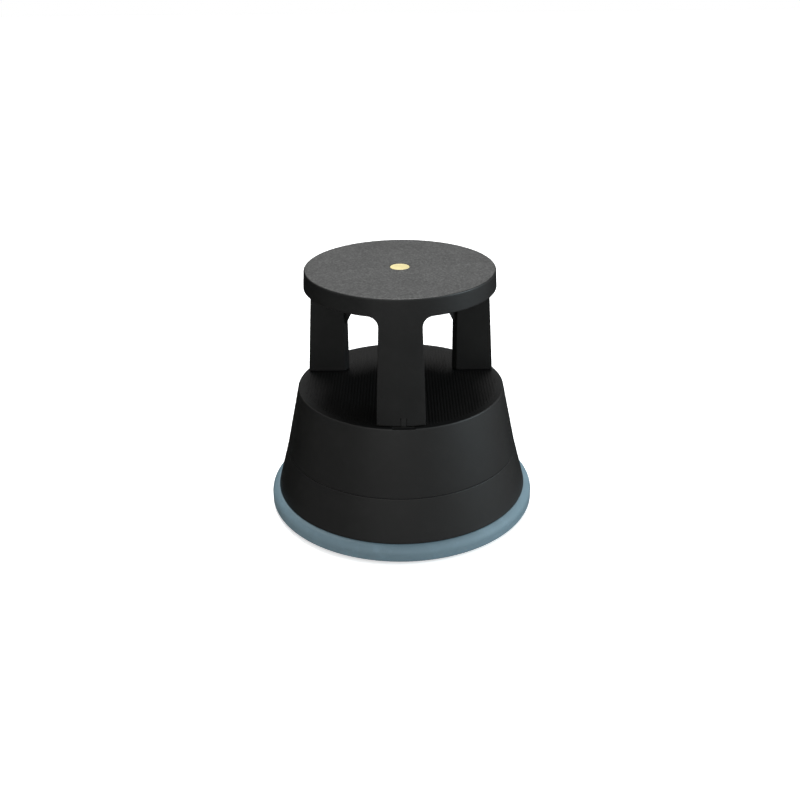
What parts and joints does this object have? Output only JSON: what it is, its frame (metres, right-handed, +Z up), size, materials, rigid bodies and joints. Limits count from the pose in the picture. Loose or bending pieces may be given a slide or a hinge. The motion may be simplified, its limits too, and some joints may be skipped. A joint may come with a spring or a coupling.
{
  "type": "step stool",
  "caption": "Round two-level rolling step stool: disc top on wedge legs, ribbed lower tread on a conical base, bumper ring, and sprung castors that retract when stood on.",
  "frame": {"origin": "centre of the footprint, on the floor, with the castors extended", "axes": "+Z up; one leg of the top step points to -Y"},
  "size_m": [0.4539, 0.454, 0.415],
  "materials": {
    "black_plastic": "satin moulded, fine grain",
    "inner_plastic": "satin moulded",
    "bumper": "soft satin blue-grey",
    "cap": "semi-gloss pale yellow",
    "steel": "zinc plated",
    "wheel": "satin grey"
  },
  "bodies": {
    "stool": {"top_step": "black_plastic", "center_cap": "cap", "lower_step": "black_plastic", "base_skirt": "black_plastic", "castor_plate": "inner_plastic", "bumper_ring": "bumper", "leg_screws": "steel", "base_screws": "steel", "housing_screws": "steel", "castor_housing_1": "inner_plastic", "castor_housing_2": "inner_plastic", "castor_housing_3": "inner_plastic", "castor_spring_1": "steel", "castor_spring_2": "steel", "castor_spring_3": "steel"},
    "plunger_1": {"castor_stem_1": "steel", "castor_clip_1": "steel"},
    "castor_1": {"castor_yoke_1": "inner_plastic", "castor_axle_1": "steel"},
    "wheel_left_1": {"castor_wheel_left_1": "wheel"},
    "wheel_right_1": {"castor_wheel_right_1": "wheel"},
    "plunger_2": {"castor_stem_2": "steel", "castor_clip_2": "steel"},
    "castor_2": {"castor_yoke_2": "inner_plastic", "castor_axle_2": "steel"},
    "wheel_left_2": {"castor_wheel_left_2": "wheel"},
    "wheel_right_2": {"castor_wheel_right_2": "wheel"},
    "plunger_3": {"castor_stem_3": "steel", "castor_clip_3": "steel"},
    "castor_3": {"castor_yoke_3": "inner_plastic", "castor_axle_3": "steel"},
    "wheel_left_3": {"castor_wheel_left_3": "wheel"},
    "wheel_right_3": {"castor_wheel_right_3": "wheel"}
  },
  "joints": [
    {"name": "castor_1_retract", "type": "slide", "parent": "stool", "child": "plunger_1", "axis": [0, 0, 1], "range_m": [0, 0.006], "stiffness_N_per_m": 3000, "springref_m": -0.01, "deforming": ["castor_spring_1"]},
    {"name": "castor_1_swivel", "type": "hinge", "parent": "plunger_1", "child": "castor_1", "pos_m": [0, -0.146, 0.045], "axis": [0, 0, 1], "continuous": true},
    {"name": "castor_1_wheel_left", "type": "hinge", "parent": "castor_1", "child": "wheel_left_1", "pos_m": [0, -0.134, 0.02], "axis": [1, 0, 0], "continuous": true},
    {"name": "castor_1_wheel_right", "type": "hinge", "parent": "castor_1", "child": "wheel_right_1", "pos_m": [0, -0.134, 0.02], "axis": [1, 0, 0], "continuous": true},
    {"name": "castor_2_retract", "type": "slide", "parent": "stool", "child": "plunger_2", "axis": [0, 0, 1], "range_m": [0, 0.006], "stiffness_N_per_m": 3000, "springref_m": -0.01, "deforming": ["castor_spring_2"]},
    {"name": "castor_2_swivel", "type": "hinge", "parent": "plunger_2", "child": "castor_2", "pos_m": [0.12644, 0.073, 0.045], "axis": [0, 0, 1], "continuous": true},
    {"name": "castor_2_wheel_left", "type": "hinge", "parent": "castor_2", "child": "wheel_left_2", "pos_m": [0.12644, 0.085, 0.02], "axis": [1, 0, 0], "continuous": true},
    {"name": "castor_2_wheel_right", "type": "hinge", "parent": "castor_2", "child": "wheel_right_2", "pos_m": [0.12644, 0.085, 0.02], "axis": [1, 0, 0], "continuous": true},
    {"name": "castor_3_retract", "type": "slide", "parent": "stool", "child": "plunger_3", "axis": [0, 0, 1], "range_m": [0, 0.006], "stiffness_N_per_m": 3000, "springref_m": -0.01, "deforming": ["castor_spring_3"]},
    {"name": "castor_3_swivel", "type": "hinge", "parent": "plunger_3", "child": "castor_3", "pos_m": [-0.12644, 0.073, 0.045], "axis": [0, 0, 1], "continuous": true},
    {"name": "castor_3_wheel_left", "type": "hinge", "parent": "castor_3", "child": "wheel_left_3", "pos_m": [-0.12644, 0.085, 0.02], "axis": [1, 0, 0], "continuous": true},
    {"name": "castor_3_wheel_right", "type": "hinge", "parent": "castor_3", "child": "wheel_right_3", "pos_m": [-0.12644, 0.085, 0.02], "axis": [1, 0, 0], "continuous": true}
  ]
}
